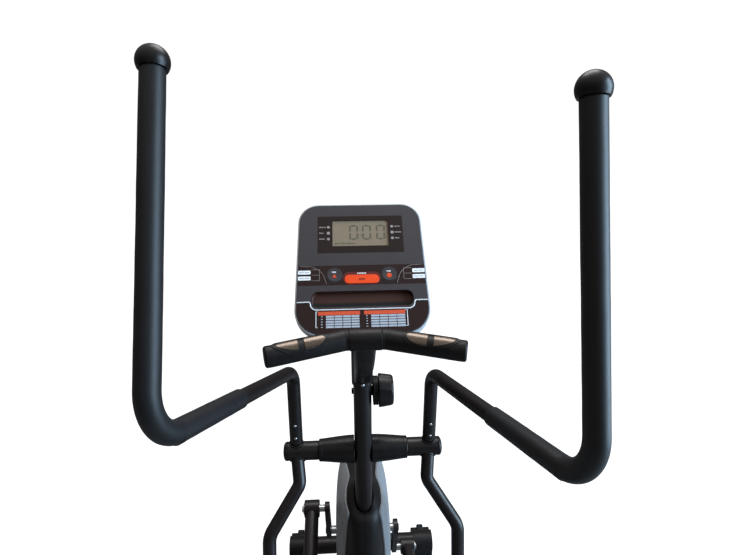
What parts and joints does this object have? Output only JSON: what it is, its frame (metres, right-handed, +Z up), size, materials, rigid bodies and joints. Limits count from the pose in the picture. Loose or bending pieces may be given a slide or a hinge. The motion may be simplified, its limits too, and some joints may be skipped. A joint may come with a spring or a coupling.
{
  "type": "elliptical trainer",
  "caption": "Upright cross-trainer with two swinging handlebars, foot trays on crank-driven bars, a shrouded magnetic flywheel, a resistance knob and a tilted console on an oval post.",
  "frame": {"origin": "on the floor, at the middle of the footprint of the whole machine", "axes": "+Z up, +Y forwards, the way the user faces, from the foot trays towards the flywheel, +X to the user's right"},
  "size_m": [0.6586, 1.192, 1.6975],
  "materials": {
    "frame_paint": "satin black-brown powder coat",
    "black_plastic": "fine-grained black moulding",
    "grey_plastic": "satin silver-grey moulding",
    "console_plastic": "matt dark grey moulding",
    "foam": "closed-cell foam",
    "lens_plastic": "glossy tinted window",
    "display": "grey-green liquid crystal",
    "orange_plastic": "orange key",
    "steel": "zinc-plated",
    "sensor_steel": "brushed stainless plate",
    "cast_iron": "machined rim",
    "rubber": "black rubber"
  },
  "bodies": {
    "frame": {"main_frame": "frame_paint", "upright_post": "frame_paint", "handlebar_stem": "frame_paint", "front_stabiliser": "frame_paint", "rear_stabiliser": "frame_paint", "front_foot_left": "black_plastic", "front_foot_right": "black_plastic", "rear_foot_left": "black_plastic", "rear_foot_right": "black_plastic", "shroud_left": "black_plastic", "shroud_right": "black_plastic", "side_panel_left": "grey_plastic", "side_panel_right": "grey_plastic", "pivot_axle": "steel", "pivot_cover_left": "black_plastic", "pivot_cover_right": "black_plastic", "knob_base": "black_plastic", "drive_belt": "rubber", "brake_cable": "rubber", "console_front": "console_plastic", "console_back": "grey_plastic", "display_lens": "lens_plastic", "display_module": "display", "pulse_bar": "steel", "bar_clamp_cover": "black_plastic", "pulse_grip_left": "black_plastic", "pulse_grip_right": "black_plastic", "pulse_sensor_left": "sensor_steel", "pulse_sensor_right": "sensor_steel"},
    "arm_left": {"swing_arm_left": "frame_paint", "handlebar_left": "frame_paint", "foam_grip_left": "foam", "ball_cap_left": "black_plastic", "pivot_bush_left": "grey_plastic", "pivot_cap_left": "black_plastic"},
    "arm_right": {"swing_arm_right": "frame_paint", "handlebar_right": "frame_paint", "foam_grip_right": "foam", "ball_cap_right": "black_plastic", "pivot_bush_right": "grey_plastic", "pivot_cap_right": "black_plastic"},
    "foot_link_left": {"pedal_bar_left": "frame_paint", "pedal_left": "black_plastic", "crank_pin_left": "steel"},
    "foot_link_right": {"pedal_bar_right": "frame_paint", "pedal_right": "black_plastic", "crank_pin_right": "steel"},
    "crank_set": {"crank_axle": "steel", "crank_pulley": "black_plastic", "crank_left": "frame_paint", "crank_right": "frame_paint"},
    "flywheel_set": {"flywheel": "cast_iron", "flywheel_axle": "steel"},
    "brake": {"magnet_brake": "steel"},
    "knob": {"tension_knob": "black_plastic"},
    "set_button": {"button_set": "black_plastic"},
    "mode_button": {"button_mode": "orange_plastic"},
    "reset_button": {"button_reset": "black_plastic"},
    "wheel_left": {"transport_wheel_left": "rubber"},
    "wheel_right": {"transport_wheel_right": "rubber"}
  },
  "joints": [
    {"name": "left_arm_swing", "type": "hinge", "parent": "frame", "child": "arm_left", "pos_m": [-0.148, 0.06, 0.8], "axis": [1, 0, 0], "range_deg": [-10.25, 17.75]},
    {"name": "right_arm_swing", "type": "hinge", "parent": "frame", "child": "arm_right", "pos_m": [0.148, 0.06, 0.8], "axis": [1, 0, 0], "range_deg": [-17.75, 10.25]},
    {"name": "left_pedal_hinge", "type": "hinge", "parent": "arm_left", "child": "foot_link_left", "pos_m": [-0.2158, -0.17358, 0.29419], "axis": [1, 0, 0], "range_deg": [-17.75, 10.25]},
    {"name": "right_pedal_hinge", "type": "hinge", "parent": "arm_right", "child": "foot_link_right", "pos_m": [0.2158, -0.10556, 0.26803], "axis": [1, 0, 0], "range_deg": [-10.25, 17.75]},
    {"name": "flywheel_spin", "type": "hinge", "parent": "frame", "child": "flywheel_set", "pos_m": [0, 0.412, 0.385], "axis": [1, 0, 0], "continuous": true},
    {"name": "crank_spin", "type": "hinge", "parent": "frame", "child": "crank_set", "pos_m": [0, 0.28, 0.34], "axis": [1, 0, 0], "continuous": true},
    {"name": "tension_knob_turn", "type": "hinge", "parent": "frame", "child": "knob", "pos_m": [0.0385, 0.06, 0.963], "axis": [-1, 0, 0], "range_deg": [0, 270]},
    {"name": "magnet_brake_swing", "type": "hinge", "parent": "frame", "child": "brake", "pos_m": [0, 0.37646, 0.49437], "axis": [-1, 0, 0], "range_deg": [0, 3.5]},
    {"name": "set_button_press", "type": "slide", "parent": "frame", "child": "set_button", "axis": [0, 0.7466, -0.6652], "range_m": [0, 0.0012], "stiffness_N_per_m": 350},
    {"name": "mode_button_press", "type": "slide", "parent": "frame", "child": "mode_button", "axis": [0, 0.7466, -0.6652], "range_m": [0, 0.0012], "stiffness_N_per_m": 350},
    {"name": "reset_button_press", "type": "slide", "parent": "frame", "child": "reset_button", "axis": [0, 0.7466, -0.6652], "range_m": [0, 0.0012], "stiffness_N_per_m": 350},
    {"name": "left_wheel_spin", "type": "hinge", "parent": "frame", "child": "wheel_left", "pos_m": [-0.23, 0.568, 0.032], "axis": [1, 0, 0], "continuous": true},
    {"name": "right_wheel_spin", "type": "hinge", "parent": "frame", "child": "wheel_right", "pos_m": [0.23, 0.568, 0.032], "axis": [1, 0, 0], "continuous": true}
  ],
  "couplings": [
    {"joint": "right_arm_swing", "follows": "left_arm_swing", "ratio": -1},
    {"joint": "left_pedal_hinge", "follows": "left_arm_swing", "ratio": -1},
    {"joint": "right_pedal_hinge", "follows": "left_arm_swing", "ratio": 1},
    {"joint": "crank_spin", "follows": "flywheel_spin", "ratio": 0.16364},
    {"joint": "magnet_brake_swing", "follows": "tension_knob_turn", "ratio": 0.012963}
  ]
}
